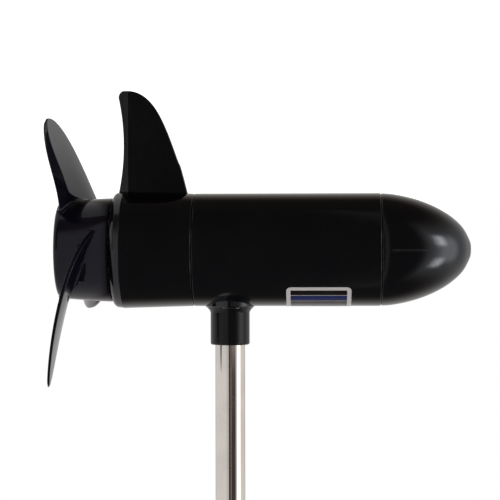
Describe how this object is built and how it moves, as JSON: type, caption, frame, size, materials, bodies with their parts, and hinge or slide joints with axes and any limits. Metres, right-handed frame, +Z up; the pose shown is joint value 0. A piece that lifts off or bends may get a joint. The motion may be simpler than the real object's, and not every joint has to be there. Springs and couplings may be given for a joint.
{
  "type": "trolling motor",
  "caption": "Electric outboard lower unit: torpedo-shaped motor with a skeg below, swept propeller behind and a steel mounting tube above.",
  "frame": {"origin": "centre of the mounting tube's upper end", "axes": "+Z up along the tube, +X forward towards the nose, the motor's shaft parallel to X"},
  "size_m": [0.3875, 0.222, 0.4489],
  "materials": {
    "black_casting": "cast, with semi-gloss black paint",
    "propeller_plastic": "moulded black, faint sheen",
    "collar_plastic": "satin moulded black",
    "stainless_tube": "polished stainless steel",
    "label_film": "printed film, black with a silver border",
    "rubber_seal": "moulded rubber",
    "machined_steel": "ground steel",
    "stainless_fastener": "stainless steel",
    "flux_steel": "plated steel",
    "laminated_steel": "stacked laminations",
    "magnet_ferrite": "sintered ferrite",
    "winding_copper": "enamelled copper",
    "commutator_copper": "turned copper",
    "holder_brass": "folded brass",
    "brush_carbon": "pressed carbon",
    "plate_laminate": "phenolic board",
    "cage_nylon": "moulded nylon",
    "spring_steel": "spring wire",
    "lead_red": "red insulation",
    "lead_black": "black insulation"
  },
  "bodies": {
    "housing": {"centre_housing": "black_casting", "rear_housing": "black_casting", "nose_cone": "black_casting", "rear_o_ring": "rubber_seal", "front_o_ring": "rubber_seal", "through_bolts": "stainless_fastener", "bolt_seals": "rubber_seal", "tube": "stainless_tube", "tube_seal": "rubber_seal", "tube_collar": "collar_plastic", "label": "label_film", "shaft_seal_outer": "rubber_seal", "shaft_seal_inner": "rubber_seal", "wave_washer": "spring_steel", "flux_ring": "flux_steel", "brush_plate": "plate_laminate", "magnet_upper": "magnet_ferrite", "magnet_lower": "magnet_ferrite", "brush_holder_upper": "holder_brass", "brush_holder_lower": "holder_brass", "brush_spring_upper": "spring_steel", "brush_spring_lower": "spring_steel", "lead_positive": "lead_red", "lead_negative": "lead_black", "rear_bearing_outer": "machined_steel", "front_bearing_outer": "machined_steel"},
    "rotor": {"propeller": "propeller_plastic", "prop_washer": "stainless_fastener", "prop_nut": "stainless_fastener", "drive_pin": "stainless_fastener", "armature_shaft": "machined_steel", "armature_core": "laminated_steel", "armature_windings": "winding_copper", "commutator": "commutator_copper", "rear_bearing_inner": "machined_steel", "front_bearing_inner": "machined_steel"},
    "rear_cage": {"rear_bearing_cage": "cage_nylon", "rear_bearing_balls": "machined_steel"},
    "front_cage": {"front_bearing_cage": "cage_nylon", "front_bearing_balls": "machined_steel"},
    "upper_brush": {"brush_upper": "brush_carbon"},
    "lower_brush": {"brush_lower": "brush_carbon"}
  },
  "joints": [
    {"name": "rotor_spin", "type": "hinge", "parent": "housing", "child": "rotor", "pos_m": [0, 0, -0.3], "axis": [1, 0, 0], "continuous": true},
    {"name": "rear_cage_spin", "type": "hinge", "parent": "housing", "child": "rear_cage", "pos_m": [-0.057, 0, -0.3], "axis": [1, 0, 0], "continuous": true},
    {"name": "front_cage_spin", "type": "hinge", "parent": "housing", "child": "front_cage", "pos_m": [0.131, 0, -0.3], "axis": [1, 0, 0], "continuous": true},
    {"name": "upper_brush_slide", "type": "slide", "parent": "housing", "child": "upper_brush", "axis": [0, 0, 1], "range_m": [0, 0.003], "stiffness_N_per_m": 400, "springref_m": -0.006, "deforming": ["brush_spring_upper"]},
    {"name": "lower_brush_slide", "type": "slide", "parent": "housing", "child": "lower_brush", "axis": [0, 0, -1], "range_m": [0, 0.003], "stiffness_N_per_m": 400, "springref_m": -0.006, "deforming": ["brush_spring_lower"]}
  ],
  "couplings": [
    {"joint": "rear_cage_spin", "follows": "rotor_spin", "ratio": 0.36591},
    {"joint": "front_cage_spin", "follows": "rotor_spin", "ratio": 0.36591}
  ]
}
